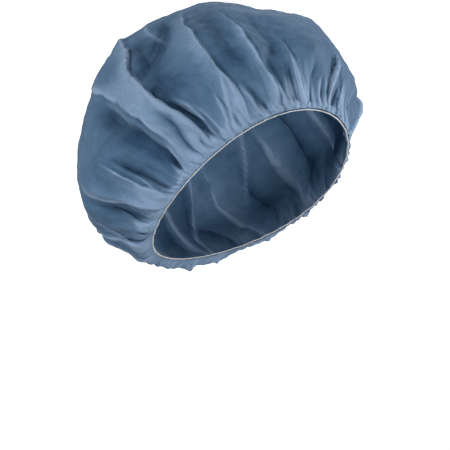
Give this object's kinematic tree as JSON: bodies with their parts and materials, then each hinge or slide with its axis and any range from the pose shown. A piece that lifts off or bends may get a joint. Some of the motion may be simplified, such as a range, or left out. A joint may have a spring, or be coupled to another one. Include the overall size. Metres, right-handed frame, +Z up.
{
  "type": "disposable hairnet",
  "caption": "Puffed non-woven hair cover: a thin hollow cloth cap gathered at its rim by a fine elastic that grips the head from forehead to nape.",
  "frame": {"origin": "centre of the rim, where the cap sits on a head", "axes": "+Z up along the head, front of the rim and the forehead towards -Y, the wearer's left towards +X"},
  "size_m": [0.2301, 0.2226, 0.2099],
  "materials": {
    "nonwoven_cloth": "matte",
    "white_elastic": "matte"
  },
  "bodies": {
    "root": {"crown": "nonwoven_cloth", "elastic_band": "white_elastic"}
  },
  "joints": []
}
